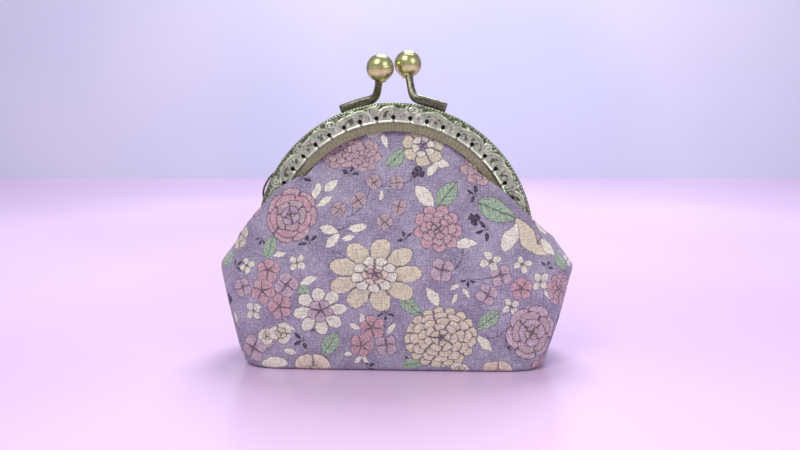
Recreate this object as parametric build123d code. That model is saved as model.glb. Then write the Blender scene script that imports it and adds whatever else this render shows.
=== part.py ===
"""Coin purse with a kiss-lock frame: an embossed brass frame sewn to a boxed cloth bag.

Millimetres. +X runs along the width, -Y is the front, +Z is up. The origin is the middle of the
base, on the surface that the purse stands on. The two frame halves turn about one hinge axis
along X, through a rivet at each end, and the front half's top swings towards -Y.
"""
from build123d import *
import math
import os

# ---- driving dimensions ----
hinge_z = 36.0  # hinge axis, which is also the centre of the frame's arc
rim_radius = 42.5  # outside of the 85 mm frame
opening_angle = 40.0  # how far each half swings open, in degrees
fabric_width = 111.2  # widest, at the ends of the side seams
base_width = 90.8
base_depth = 40.0
widest_z = 29.0

# frame half: a channel bent from sheet, open towards the middle of the arc
sheet = 0.6
half_gap = 0.15  # each half stops this far from the middle plane
half_depth = 5.5
face_width = 8.5  # outer plate, from the rim inwards
inner_face_width = 7.0
rim_round = 0.54  # outside corner between the face and the rim
leg_end = 5.0  # the legs stop this far above the hinge axis

# sewing holes
hole_circle = 38.2
hole_radius = 0.65
hole_step = 7.65  # degrees
holes_each_side = 10
thread_radius = 0.4
thread_inset = 0.2  # the thread ends this far inside the plates

# hinge ears and rivets
ear_thickness = 0.8
ear_gap = 0.2
ear_radius = 2.6
ear_top = 7.0  # above the hinge axis
ear_outside = 42.1
ear_inset = 0.05  # the neck keeps this far inside the channel's two faces
ear_neck_edge = ((-2.3, 1.2), (-4.5, 4.5))  # front edge of the neck, from the hinge axis
ear_neck_foot = 1.5
rivet_radius = 1.0
rivet_head_radius = 1.8
rivet_head = 0.7
rivet_head_round = 0.42
running_clearance = 0.05

# kiss-lock arms and balls
ball_radius = 4.15
ball_offset = 4.17  # of each ball's centre from the middle, along X
ball_lean = 2.9  # how far each closed ball stands past the middle plane
front_ball_z = 90.3
back_ball_z = 88.9
arm_radius = 1.2
arm_foot_x = 15.6
arm_bend_x = 6.0
arm_bend_radius = 3.0
arm_y = 2.8  # the arm's foot, from the middle plane
arm_sink = 0.25  # the foot is brazed this far into the rim
arm_bend_lift = 0.4  # the bend stands this much further off the rim

# wire loop for a strap, on the left end of the back half
loop_wire = 0.4
loop_reach = 2.7
loop_bend_radius = 1.4
loop_inset = 0.3  # the wire's ends stop this far inside the rim
loop_angles = (60.5, 73.3)  # from the top of the arc

# cloth: printed cotton, fleece and lining, as offsets in from the outside
cloth_layers = {"outer": (0.0, 0.6), "fleece": (0.6, 1.6), "lining": (1.6, 2.0)}
cloth_in_channel = 3.8  # outside face of the cloth in the channel, from the middle plane
channel_mouth = rim_radius - face_width
cloth_edge_radius = 39.8
mouth_clearance = 0.5
mouth_angle = 42.0  # past this angle the cloth bulges over the leg, on each side
fold_angle = 43.0  # cloth above this angle turns with the frame half
belly = 0.062  # how far the upper cloth bulges forward, per millimetre of its height
base_clearance = 0.1
cheek_lift = 3.2  # how strongly the cheek's edge faces up between its ends

smallest_area = 1e-6  # triangles below this are left out of the cloth
far = 300.0  # larger than the whole purse

# the cloth's upper edge on the right, from the channel's mouth over the leg to the side seam
cheek_edge = [
    (25.6, -8.3, 58.2),
    (31.5, -9.3, 55.2),
    (37.5, -9.2, 49.2),
    (43.0, -7.4, 42.8),
    (47.2, -4.0, 38.6),
]

middle_columns = 6  # from the middle to the point where the cloth leaves the mouth
middle_turn = 55.8  # direction of that point on the hinge's level, in degrees from the front
wall_levels = (0.0, 4.0, 12.0, 20.0, widest_z, 33.0, hinge_z)
upper_steps = 6


def lerp(a, b, t):
    return a + (b - a) * t


def through(table, z):
    """Value at height z on the straight lines through (z, value) pairs."""
    for (low, first), (high, second) in zip(table, table[1:]):
        if z <= high:
            return lerp(first, second, (z - low) / (high - low))
    return table[-1][1]


half_width_at = ((0.0, base_width / 2), (widest_z, fabric_width / 2), (hinge_z, 50.3))
half_depth_at = ((0.0, base_depth / 2), (16.0, base_depth / 2), (widest_z, 19.2), (hinge_z, 17.2))
corner_power_at = ((0.0, 9.0), (12.0, 5.0), (widest_z, 2.7), (hinge_z, 2.4))


def outline(turn, z):
    """Point and outward normal of the bag's level outline; turn runs -90 to 90 over the front."""
    width = through(half_width_at, z)
    depth = through(half_depth_at, z)
    power = through(corner_power_at, z)
    along = math.sin(math.radians(turn))
    ahead = max(math.cos(math.radians(turn)), 0.0)
    if abs(turn) == 90:
        ahead = 0.0
    reach = (abs(along / width) ** power + (ahead / depth) ** power) ** (-1 / power)
    x = along * reach
    y = -ahead * reach
    slope_x = math.copysign(abs(x / width) ** (power - 1) / width, x)
    slope_y = -((-y / depth) ** (power - 1)) / depth
    return Vector(x, y, z), Vector(slope_x, slope_y, 0).normalized()


def sheet_solid(outer, inner):
    """Closed solid between two grids of points with the same rows and columns."""
    rows = len(outer)
    cols = len(outer[0])
    quads = []
    for i in range(rows - 1):
        for j in range(cols - 1):
            quads.append((outer[i][j], outer[i][j + 1], outer[i + 1][j + 1], outer[i + 1][j]))
            quads.append((inner[i][j], inner[i + 1][j], inner[i + 1][j + 1], inner[i][j + 1]))
    for j in range(cols - 1):
        quads.append((outer[0][j], inner[0][j], inner[0][j + 1], outer[0][j + 1]))
        quads.append((outer[-1][j], outer[-1][j + 1], inner[-1][j + 1], inner[-1][j]))
    for i in range(rows - 1):
        quads.append((outer[i][0], outer[i + 1][0], inner[i + 1][0], inner[i][0]))
        quads.append((outer[i][-1], inner[i][-1], inner[i + 1][-1], outer[i + 1][-1]))
    faces = []
    for a, b, c, d in quads:
        for corners in ((a, b, c), (a, c, d)):
            first, second, third = corners
            if (second - first).cross(third - first).length > smallest_area:
                faces.append(Face(Wire.make_polygon(corners)))
    return Solid(Shell(faces))


def turns():
    """Directions of the columns of the cloth grids, from the left side seam to the right one."""
    middle = [middle_turn * j / middle_columns for j in range(middle_columns + 1)]
    steps = len(cheek_edge) + 1
    side = [lerp(middle_turn, 90.0, j / steps) for j in range(1, steps + 1)]
    right = middle + side
    return [-turn for turn in reversed(right[1:])] + right


def front_wall(offsets):
    """One cloth layer of the front wall, from the base to the level of the hinge."""
    grids = []
    for inset in offsets:
        grid = []
        for z in wall_levels:
            points = [outline(turn, z) for turn in turns()]
            grid.append([point - normal * inset for point, normal in points])
        grids.append(grid)
    return sheet_solid(*grids)


def base_layer(offsets):
    """One cloth layer of the base, inside the foot of the walls."""
    inset = cloth_layers["lining"][1] + base_clearance
    front = [outline(turn, 0.0) for turn in turns()]
    edge = [point - normal * inset for point, normal in front]
    back = [Vector(p.X, -p.Y, 0) for p in reversed(edge[1:-1])]
    low, high = offsets
    plate = Face(Wire.make_polygon(edge + back))
    return Pos(0, 0, low) * extrude(plate, amount=high - low, dir=(0, 0, 1))


def mouth_point(column, radius):
    """Point of the cloth's front face at a radius from the arc's centre, for a middle column."""
    angle = math.radians(mouth_angle * column / middle_columns)
    return Vector(radius * math.sin(angle), -cloth_in_channel, hinge_z + radius * math.cos(angle))


def upper_edge(column):
    """Upper edge of the front cloth and its outward direction; column counts from the middle."""
    across = abs(column) - middle_columns
    if across <= 0:
        return mouth_point(column, channel_mouth - mouth_clearance), Vector(0, -1, 0)
    steps = len(cheek_edge) + 1
    side = math.copysign(1, column)
    share = across / steps
    seam_top = outline(90.0, hinge_z)[0]
    x, y, z = cheek_edge[across - 1] if across < steps else seam_top
    lift = cheek_lift * share * (1 - share)
    return Vector(side * x, y, z), Vector(side * share, share - 1, lift).normalized()


def upper_layer(offsets):
    """One cloth layer of the upper front, from the channel's mouth to the level of the hinge."""
    grids = []
    half = len(turns()) // 2
    for inset in offsets:
        grid = []
        for step in range(upper_steps + 1):
            t = step / upper_steps
            row = []
            for column, turn in zip(range(-half, half + 1), turns()):
                top, top_normal = upper_edge(column)
                foot, foot_normal = outline(turn, hinge_z)
                middle = (top + foot) * 0.5 - Vector(0, belly * (foot - top).length, 0)
                point = top * (1 - t) ** 2 + middle * (2 * t * (1 - t)) + foot * t ** 2
                normal = (top_normal * (1 - t) + foot_normal * t).normalized()
                row.append(point - normal * inset)
            grid.append(row)
        grids.append(grid)
    return sheet_solid(*grids)


def channel_strip(offsets):
    """The strip of one front cloth layer that lies inside the channel."""
    grids = []
    for inset in offsets:
        radii = (cloth_edge_radius, channel_mouth - mouth_clearance)
        columns = range(-middle_columns, middle_columns + 1)
        grids.append([[mouth_point(column, radius) + Vector(0, inset, 0) for column in columns]
                      for radius in radii])
    return sheet_solid(*grids)


def above_fold():
    """The space whose cloth turns with the front half."""
    block = Box(far, far, far, align=(Align.CENTER, Align.CENTER, Align.MIN))
    return Pos(0, 0, hinge_z) * Rot(X=fold_angle - 90) * block


def channel():
    """The front half's bent channel: two plates and the rim, as one arc."""
    outer_plate = Pos(rim_radius - face_width / 2, -half_depth + sheet / 2) * Rectangle(face_width, sheet)
    inner_plate = (Pos(rim_radius - inner_face_width / 2, -half_gap - sheet / 2)
                   * Rectangle(inner_face_width, sheet))
    rim_depth = half_depth - half_gap
    rim = Pos(rim_radius - sheet / 2, -half_gap - rim_depth / 2) * Rectangle(sheet, rim_depth)
    profile = outer_plate + inner_plate + rim
    corner = profile.vertices().sort_by_distance((rim_radius, -half_depth, 0))[0]
    profile = fillet(corner, rim_round)
    arc = revolve(Pos(0, 0, hinge_z) * profile, axis=Axis((0, 0, hinge_z), (0, 1, 0)))
    above = Pos(0, 0, hinge_z + leg_end) * Box(far, far, far, align=(Align.CENTER, Align.CENTER, Align.MIN))
    return arc & above


def ear(inner_x, bore):
    """A hinge ear on the right end of the front half, a flat plate that starts at inner_x."""
    disc = Pos(inner_x, 0, hinge_z) * Rot(Y=90) * Cylinder(
        ear_radius, ear_thickness, align=(Align.CENTER, Align.CENTER, Align.MIN))
    front_y = -half_depth + ear_inset
    middle_y = -half_gap - ear_inset
    neck_points = [*ear_neck_edge, (front_y, ear_top), (middle_y, ear_top), (middle_y, ear_neck_foot)]
    neck_wire = Wire.make_polygon([Vector(inner_x, y, hinge_z + z) for y, z in neck_points])
    neck = extrude(Face(neck_wire), amount=ear_thickness, dir=(1, 0, 0))
    pin_hole = Pos(inner_x, 0, hinge_z) * Rot(Y=90) * Cylinder(bore, ear_top)
    return disc + neck - pin_hole


def sewing_points():
    for i in range(-holes_each_side, holes_each_side + 1):
        angle = math.radians(i * hole_step)
        yield hole_circle * math.sin(angle), hinge_z + hole_circle * math.cos(angle)


def frame_half(ear_x, bore):
    """A whole half with its ears and sewing holes, in the front half's place."""
    half = channel()
    right_ear = ear(ear_x, bore)
    half = half + right_ear + mirror(right_ear, about=Plane.YZ)
    for x, z in sewing_points():
        half -= Pos(x, -half_depth / 2, z) * Rot(X=90) * Cylinder(hole_radius, 2 * half_depth)
    return half


def stitches():
    """The short lengths of thread that show in the front half's holes."""
    low = -half_depth + thread_inset
    high = -half_gap - thread_inset
    length = high - low
    return [Pos(x, (low + high) / 2, z) * Rot(X=90) * Cylinder(thread_radius, length)
            for x, z in sewing_points()]


def clasp_arm(ball_z):
    """The front half's arm, on the right: a foot along the rim and a stem up to the ball."""
    foot_radius = rim_radius + arm_radius - arm_sink
    foot_z = hinge_z + math.sqrt(foot_radius ** 2 - arm_foot_x ** 2)
    bend_z = hinge_z + math.sqrt((foot_radius + arm_bend_lift) ** 2 - arm_bend_x ** 2)
    foot = (arm_foot_x, -arm_y, foot_z)
    bend = (arm_bend_x, -arm_y, bend_z)
    top = (ball_offset, ball_lean, ball_z)
    path = FilletPolyline(foot, bend, top, radius=arm_bend_radius)
    section = Plane(origin=foot, z_dir=Vector(*bend) - Vector(*foot)) * Circle(arm_radius)
    rod = sweep(section, path=path)
    return rod + Pos(*foot) * Sphere(arm_radius)


def clasp_ball(ball_z):
    return Pos(ball_offset, ball_lean, ball_z) * Sphere(ball_radius)


def strap_loop():
    """A bent wire whose ends pass through the rim of the back half, on the left."""
    inside = rim_radius - sheet - loop_inset
    outside = rim_radius + loop_reach - loop_wire
    first, second = (math.radians(angle) for angle in loop_angles)
    corners = [(inside, first), (outside, first), (outside, second), (inside, second)]
    points = [(-r * math.sin(a), arm_y, hinge_z + r * math.cos(a)) for r, a in corners]
    path = FilletPolyline(*points, radius=loop_bend_radius)
    start = Vector(*points[0])
    section = Plane(origin=start, z_dir=Vector(*points[1]) - start) * Circle(loop_wire)
    return sweep(section, path=path)


def rivet():
    """The right hinge rivet: a shaft through both ears, with a head on each end."""
    back_ear_x = ear_outside - 2 * ear_thickness - ear_gap
    head_x = ear_outside + running_clearance
    along_x = Rot(Y=90)
    from_base = (Align.CENTER, Align.CENTER, Align.MIN)
    shaft = Pos(back_ear_x, 0, hinge_z) * along_x * Cylinder(rivet_radius, head_x - back_ear_x, align=from_base)
    outer_head = Pos(head_x, 0, hinge_z) * along_x * Cylinder(rivet_head_radius, rivet_head, align=from_base)
    outer_head = fillet(outer_head.edges().group_by(Axis.X)[-1], rivet_head_round)
    inner_head = (Pos(back_ear_x - rivet_head, 0, hinge_z) * along_x
                  * Cylinder(rivet_head_radius, rivet_head, align=from_base))
    inner_head = fillet(inner_head.edges().group_by(Axis.X)[0], rivet_head_round)
    return shaft + outer_head + inner_head


def to_back(shape):
    """The same piece on the other half: turned half a turn about the vertical axis."""
    return Rot(Z=180) * shape


def hardware():
    """Every metal piece and the thread, by node name."""
    front_ear_x = ear_outside - ear_thickness
    back_ear_x = front_ear_x - ear_gap - ear_thickness
    front = frame_half(front_ear_x, rivet_radius + running_clearance)
    back = to_back(frame_half(back_ear_x, rivet_radius))
    loop = strap_loop()
    front_arm = clasp_arm(front_ball_z)
    back_arm = clasp_arm(back_ball_z)
    right_rivet = rivet()
    return {
        "front_frame_half": front,
        "back_frame_half": back - loop,
        "right_hinge_rivet": right_rivet,
        "left_hinge_rivet": mirror(right_rivet, about=Plane.YZ),
        "front_clasp_arm": front_arm - front,
        "back_clasp_arm": to_back(back_arm - front),
        "front_clasp_ball": clasp_ball(front_ball_z) - front_arm,
        "back_clasp_ball": to_back(clasp_ball(back_ball_z) - back_arm),
        "strap_loop": loop,
        "front_stitching": stitches(),
        "back_stitching": [to_back(stitch) for stitch in stitches()],
    }


def cloth():
    """Every cloth piece, by node name."""
    nodes = {"front_fold_band": [], "back_fold_band": []}
    turning = above_fold()
    for layer, offsets in cloth_layers.items():
        wall = front_wall(offsets)
        panel = upper_layer(offsets) + channel_strip(offsets)
        upper = panel & turning
        fold = panel - turning
        nodes[f"{layer}_front_wall"] = wall
        nodes[f"{layer}_back_wall"] = to_back(wall)
        nodes[f"{layer}_base"] = base_layer(offsets)
        nodes[f"{layer}_front_upper"] = upper
        nodes[f"{layer}_back_upper"] = to_back(upper)
        nodes["front_fold_band"].append(fold)
        nodes["back_fold_band"].append(to_back(fold))
    return nodes


def solids_of(shape):
    pieces = shape if isinstance(shape, list) else [shape]
    return [solid for piece in pieces for solid in piece.solids()]


os.makedirs("parts", exist_ok=True)
for name, shape in {**hardware(), **cloth()}.items():
    solids = solids_of(shape)
    export_step(solids[0] if len(solids) == 1 else Compound(solids), f"parts/{name}.step")
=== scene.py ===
"""Looks of a coin purse with a kiss-lock frame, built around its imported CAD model.

Sizes here are millimetres in the CAD's frame and meshes are made in metres. +X runs along the
width, -Y is the front, +Z is up, and the origin is the middle of the base. Each back piece is
the front one's shape turned half a turn about Z.
"""

import math

import bmesh
import bpy
import numpy as np
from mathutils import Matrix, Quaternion, Vector


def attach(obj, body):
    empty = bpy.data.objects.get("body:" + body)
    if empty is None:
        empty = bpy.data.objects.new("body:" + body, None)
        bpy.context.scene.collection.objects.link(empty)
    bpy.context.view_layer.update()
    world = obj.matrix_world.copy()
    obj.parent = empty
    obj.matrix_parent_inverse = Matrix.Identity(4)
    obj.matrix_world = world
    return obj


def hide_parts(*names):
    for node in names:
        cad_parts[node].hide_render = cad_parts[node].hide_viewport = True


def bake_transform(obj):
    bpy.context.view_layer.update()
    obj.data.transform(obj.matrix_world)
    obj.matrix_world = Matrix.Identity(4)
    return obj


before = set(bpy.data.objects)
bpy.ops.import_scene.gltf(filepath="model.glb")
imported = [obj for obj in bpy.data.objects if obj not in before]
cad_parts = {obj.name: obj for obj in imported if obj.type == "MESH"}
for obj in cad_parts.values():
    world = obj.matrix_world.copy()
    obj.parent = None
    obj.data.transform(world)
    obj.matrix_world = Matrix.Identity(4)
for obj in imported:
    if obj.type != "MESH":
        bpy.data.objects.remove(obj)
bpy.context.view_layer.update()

MM = 0.001

# ---- sizes that the CAD model has too, in millimetres ----
hinge_z = 36.0
rim_radius = 42.5
base_width = 90.8
base_depth = 40.0
fabric_width = 111.2
widest_z = 29.0
half_gap = 0.15
half_depth = 5.5
face_width = 8.5
inner_face_width = 7.0
leg_end = 5.0
hole_circle = 38.2
hole_radius = 0.65
hole_step = 7.65
holes_each_side = 10
cloth_in_channel = 3.8
mouth_clearance = 0.5
mouth_angle = 42.0
belly = 0.062
ball_radius = 4.15
ball_lean = 2.9
ball_heights = {False: 90.3, True: 88.9}  # of the front half's ball and the back one's
ear_thickness = 0.8
ear_starts = {False: 41.3, True: 40.3}  # inner faces of the front half's ears and the back one's
channel_mouth = rim_radius - face_width
hole_pitch = math.radians(hole_step) * hole_circle

half_width_at = ((0.0, widest_z, hinge_z), (base_width / 2, fabric_width / 2, 50.3))
half_depth_at = ((0.0, 16.0, widest_z, hinge_z), (base_depth / 2, base_depth / 2, 19.2, 17.2))
corner_power_at = ((0.0, 12.0, widest_z, hinge_z), (9.0, 5.0, 2.7, 2.4))

# ---- sizes for the looks ----
# the cloth's upper edge on the right, from the channel's mouth over the leg to the side seam, and
# the two lines by which its hem turns back into the channel; the CAD has the edge's first five points
cheek_edge = ((25.6, -8.3, 58.2), (31.5, -9.3, 55.2), (37.5, -9.2, 49.2),
              (43.0, -7.4, 42.8), (47.2, -4.0, 38.6), (50.0, 0.0, 36.8))
cheek_fold = ((24.9, -5.6, 57.3), (28.9, -6.3, 53.6), (33.8, -6.6, 47.9),
              (39.6, -6.2, 41.6), (45.0, -3.0, 37.6), (48.8, 0.0, 35.8))
cheek_hem = ((26.4, -3.8, 59.2), (29.9, -3.9, 54.4), (32.6, -4.0, 47.6),
             (36.4, -4.2, 40.6), (43.6, -2.2, 36.6), (47.8, 0.0, 34.8))

# the CAD's balls stand a little further apart, and its arms are thinner and have shorter feet
ball_offset = 4.03
foot_ends = {False: 15.9, True: 16.9}  # of the front half's arm and the back one's
arm_half_width = 1.26
arm_half_depth = 1.22
plate_thickness = 0.5  # the CAD's plates are 0.6 mm

# the cloth's control points, and how many times the grid between them is divided; the CAD has the
# same middle columns, and fewer levels and steps
middle_columns = 6
middle_turn = 55.8
base_shares = (0.0, 0.45, 0.82)
wall_levels = (0.0, 2.5, 7.0, 12.0, 17.0, 22.0, 26.0, widest_z, 32.0, hinge_z)
upper_steps = 8
channel_radii = (35.4, 37.6, 39.8)
cloth_refinement = 3

# the print repeats over the bolt of cloth, and the back is cut half a repeat away from the front
repeat_along = 128.0
repeat_up = 96.0

# how far the fleece's and the lining's edge lies from the outer cloth's at each point of the cheek
inner_cheek_shift = np.array([(-1.0, 1.2, -1.8)] * 4 + [(-1.2, 0.6, -1.4), (-0.6, 0.0, -0.5)])
# how far the hem turns in at each point of the cheek; at the side seam it is cut off short
outer_hem_shares = np.array([1.0, 1.0, 1.0, 1.0, 0.6, 0.03])[:, None]
inner_hem_shares = np.array([0.9, 0.4, 0.05, 0.05, 0.05, 0.03])[:, None]
# how much higher the front cloth stands at its left cheek than at its right one
left_rise = np.array([(0, 0, 0.3), (0, 0, 1.2), (0, 0, 2.4), (0, 0, 3.0), (0, 0, 1.6), (0, 0, 0)])
# how far each layer's two sides lie below the cloth's outside
layer_offsets = {"outer": (0.0, 0.6), "fleece": (0.7, 1.5), "lining": (1.6, 2.0)}


def refine(grid, axis):
    """Divides and smooths a grid of points along one axis as a cubic spline does; its ends stay."""
    points = np.moveaxis(grid, axis, 0)
    finer = np.empty((2 * len(points) - 1,) + points.shape[1:])
    finer[0::2] = points
    finer[2:-1:2] = (points[:-2] + 6 * points[1:-1] + points[2:]) / 8
    finer[1::2] = (points[1:] + points[:-1]) / 2
    return np.moveaxis(finer, 0, axis)


def refined(path, times):
    """A path of points, divided and smoothed as many times as asked for."""
    path = np.asarray(path, float)
    for _ in range(times):
        path = refine(path, 0)
    return path


def smoothstep(value, low, high):
    """0 below low, 1 above high and a smooth rise between them."""
    share = np.clip((value - low) / (high - low), 0, 1)
    return share * share * (3 - 2 * share)


def hill(value, width):
    """1 where value is 0, falling away smoothly over the width."""
    return np.exp(-(value / width) ** 2)


# ---- meshes ----
def quads_between(index):
    """Quads between neighbours in a grid of point numbers."""
    corners = [index[:-1, :-1], index[:-1, 1:], index[1:, 1:], index[1:, :-1]]
    return np.stack(corners, -1).reshape(-1, 4)


def grid_faces(rows, cols, start=0):
    """Quads between the neighbouring points of a grid whose first point has the index start."""
    return quads_between(start + np.arange(rows * cols).reshape(rows, cols))


def new_piece(name, points, faces, materials, back=False, uv=None, point_values=None):
    """A smooth-shaded piece from points in millimetres, turned to the back where that is asked for."""
    if back:
        points = turned(points)
    mesh = bpy.data.meshes.new(name)
    mesh.from_pydata((np.asarray(points) * MM).tolist(), [], [list(face) for face in faces])
    if uv is not None:
        corner_points = np.empty(len(mesh.loops), int)
        mesh.loops.foreach_get("vertex_index", corner_points)
        layer = mesh.uv_layers.new(name="cloth")
        layer.data.foreach_set("uv", uv[corner_points].astype(np.float32).ravel())
    if point_values is not None:
        for label, values in point_values.items():
            attribute = mesh.attributes.new(label, "FLOAT", "POINT")
            attribute.data.foreach_set("value", np.asarray(values, np.float32).ravel())
    edit = bmesh.new()
    edit.from_mesh(mesh)
    bmesh.ops.remove_doubles(edit, verts=edit.verts, dist=0.002 * MM)
    for face in edit.faces:
        face.smooth = True
    edit.to_mesh(mesh)
    edit.free()
    for material in materials:
        mesh.materials.append(material)
    piece = bpy.data.objects.new(name, mesh)
    bpy.context.scene.collection.objects.link(piece)
    return piece


def apply_modifiers(piece):
    """Keeps the piece's shape as its modifiers make it, and removes them."""
    view = bpy.context.evaluated_depsgraph_get()
    mesh = bpy.data.meshes.new_from_object(piece.evaluated_get(view))
    piece.modifiers.clear()
    piece.data = mesh


def turned(points):
    """Points of the front turned half a turn about Z, to the back."""
    return np.asarray(points) * (-1, -1, 1)


def tube(path, across, along_y, power=2.0, sides=24):
    """Points and faces of a closed rod along a path, with a rounded section that can change."""
    path = np.asarray(path, float)
    tangent = np.gradient(path, axis=0)
    tangent /= np.linalg.norm(tangent, axis=1)[:, None]
    side = np.cross(tangent, (0.0, 1.0, 0.0))
    side /= np.linalg.norm(side, axis=1)[:, None]
    up = np.cross(side, tangent)
    turn = np.linspace(0, 2 * math.pi, sides, endpoint=False)
    section_x = np.sign(np.cos(turn)) * np.abs(np.cos(turn)) ** (2 / power)
    section_y = np.sign(np.sin(turn)) * np.abs(np.sin(turn)) ** (2 / power)
    rings = (path[:, None] + side[:, None] * section_x[None, :, None] * np.asarray(across)[:, None, None]
             + up[:, None] * section_y[None, :, None] * np.asarray(along_y)[:, None, None])
    return rings.reshape(-1, 3), closed_rings(len(path), sides)


def closed_rings(rings, sides):
    """Faces of a closed shape made of rings of points, with a face over each end."""
    index = np.arange(rings * sides).reshape(rings, sides)
    index = np.concatenate([index, index[:, :1]], axis=1)
    ends = [list(range(sides))[::-1], list(range((rings - 1) * sides, rings * sides))]
    return [list(quad) for quad in quads_between(index)] + ends


# ---- cloth ----
def cloth_turns():
    """Directions of the cloth's columns, from the left side seam to the right one."""
    middle = np.linspace(0, middle_turn, middle_columns + 1)
    side = np.linspace(middle_turn, 90, len(cheek_edge) + 1)[1:]
    right = np.concatenate([middle, side])
    return np.concatenate([-right[:0:-1], right])


def outline(z):
    """The front half of the bag's level outline at height z, with one point for each column."""
    tables = (half_width_at, half_depth_at, corner_power_at)
    width, depth, power = (np.interp(z, *table) for table in tables)
    turn = np.radians(cloth_turns())
    along = np.sin(turn)
    ahead = np.cos(turn)
    ahead[[0, -1]] = 0
    reach = ((np.abs(along) / width) ** power + (ahead / depth) ** power) ** (-1 / power)
    return np.stack([along * reach, -ahead * reach, np.full(len(turn), z)], -1)


def base_row(share):
    """A row of the base between its middle line, at share 0, and its edge, at share 1."""
    inset = base_depth / 2 * (1 - share)
    return outline(0.0) * (1 - inset / (base_width / 2), share, 1)


def mirrored(right):
    """A row of points from its right half, which starts at the middle column."""
    left = np.asarray(right)[:0:-1] * (-1, 1, 1)
    return np.concatenate([left, right])


def channel_row(radius, cheek):
    """A row at a radius in the channel, which goes on through the cheek's points."""
    angle = np.radians(np.linspace(0, mouth_angle, middle_columns + 1))
    middle = np.stack([radius * np.sin(angle), np.full(len(angle), -cloth_in_channel),
                       hinge_z + radius * np.cos(angle)], -1)
    return mirrored(np.concatenate([middle, cheek]))


def cloth_rows(hem_shares, cheek_shift, rise):
    """Control points of the front cloth: half the base, the wall, the upper part and the hem."""
    rows = [base_row(share) for share in base_shares]
    rows += [outline(z) for z in wall_levels]
    foot = outline(hinge_z)
    edge = np.array(cheek_edge) + cheek_shift
    top = channel_row(channel_mouth - mouth_clearance, edge)
    raised_end = np.s_[:len(left_rise)]
    top[raised_end] += left_rise[::-1] * rise
    length = np.linalg.norm(foot - top, axis=1)[:, None]
    middle = (top + foot) / 2 - length * (0, belly, 0)
    for step in range(1, upper_steps + 1):
        t = 1 - step / upper_steps
        rows.append(top * (1 - t) ** 2 + middle * (2 * t * (1 - t)) + foot * t ** 2)
    fold = np.array(cheek_fold)
    hem = np.array(cheek_hem)
    for radius, line in zip(channel_radii, (fold, hem, hem * 2 - fold)):
        row = channel_row(radius, edge + (line - edge) * hem_shares)
        row[raised_end] += left_rise[::-1] * rise * (1 - hem_shares[::-1])
        rows.append(row)
    return np.array(rows)


def row_of_level_zero():
    """Index of the fine row that is the base's edge."""
    return len(base_shares) * 2 ** cloth_refinement


def edge_row():
    """Index of the fine row at the cloth's upper edge, where the hem turns in."""
    return (len(base_shares) + len(wall_levels) + upper_steps - 1) * 2 ** cloth_refinement


def fine_cloth(hem_shares, cheek_shift, rise):
    """The front cloth as a fine smooth grid of points."""
    grid = cloth_rows(hem_shares, cheek_shift, rise)
    for _ in range(cloth_refinement):
        grid = refine(refine(grid, 0), 1)
    return grid


def grid_normals(grid):
    """Outward normals of a cloth grid. Where its points meet on the base, they point down."""
    normal = np.cross(np.gradient(grid, axis=1), np.gradient(grid, axis=0))
    length = np.linalg.norm(normal, axis=2)[:, :, None]
    return np.where(length > 1e-6, normal / np.maximum(length, 1e-6), (0, 0, -1))


def held_normals(grid, plain_end):
    """Normals that stay the edge's own over the hem, past the control column plain_end."""
    normal = grid_normals(grid)
    from_middle = np.abs(np.arange(grid.shape[1]) - grid.shape[1] // 2) / 2 ** cloth_refinement
    held = smoothstep(from_middle, plain_end, plain_end + 1)[None, :, None]
    last = edge_row() - 2 ** cloth_refinement
    normal[last:] = normal[last:] * (1 - held) + normal[last] * held
    return normal


def flat_coordinates(grid):
    """Where each point lay on the flat cloth: along from the middle and up from the base's edge."""
    step = np.diff(grid, axis=1)
    along = np.zeros(grid.shape[:2])
    along[:, 1:] = np.cumsum(np.hypot(step[:, :, 0], step[:, :, 1]), axis=1)
    along -= along[:, along.shape[1] // 2][:, None]
    rise = np.linalg.norm(np.diff(grid, axis=0), axis=2)
    up = np.zeros(grid.shape[:2])
    up[1:] = np.cumsum(rise, axis=0)
    up -= up[row_of_level_zero()][None, :]
    return along, up


def softness(grid, along, up):
    """How far the cloth stands out of its plain shape: soft waves, gathers, seams and creases."""
    x, z = grid[:, :, 0], grid[:, :, 2]
    waves = 0.30 * np.sin(x / 8.3 + 0.7) * np.sin(up / 9.1 + 0.4) + 0.16 * np.sin(x / 4.1 + up / 6.3)
    waves = waves * smoothstep(up, -2.0, 8.0)
    angle = np.degrees(np.arctan2(x, z - hinge_z))
    from_mouth = np.hypot(x, z - hinge_z) - channel_mouth
    near_frame = smoothstep(z, 46, 52) * np.exp(-np.clip(-from_mouth, 0, None) / 4.5)
    near_frame = near_frame * smoothstep(-from_mouth, -1.0, 1.0)
    gathers = 0.26 * near_frame * np.cos(2 * math.pi * angle / hole_step)
    seam_gap = np.abs(along) - np.abs(along[:, -1])[:, None]
    seam = -0.75 * hill(seam_gap, 0.9) + 0.22 * hill(seam_gap + 2.0, 1.1)
    seam = seam * smoothstep(up, -30.0, -4.0)
    box_seam = -0.5 * hill(up - 0.5, 0.7) * smoothstep(np.abs(x), 40.0, 43.5)
    middle_seam = -0.5 * hill(up + base_depth / 2, 0.8)
    return waves + gathers + seam + box_seam + middle_seam


def seam_tuck(grid, along):
    """How much further in the fleece and the lining stand beside the side seams, on the wall."""
    # the front and the back cross there as the mouth opens, and without it the fleece would show
    tuck_depth = 1.6
    tuck_reach = 4.0
    z = grid[:, :, 2]
    seam_gap = np.abs(along) - np.abs(along[:, -1])[:, None]
    on_wall = smoothstep(z, 2.0, 8.0) * (1 - smoothstep(z, 32.0, 36.0))
    return tuck_depth * hill(seam_gap, tuck_reach) * on_wall


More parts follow.
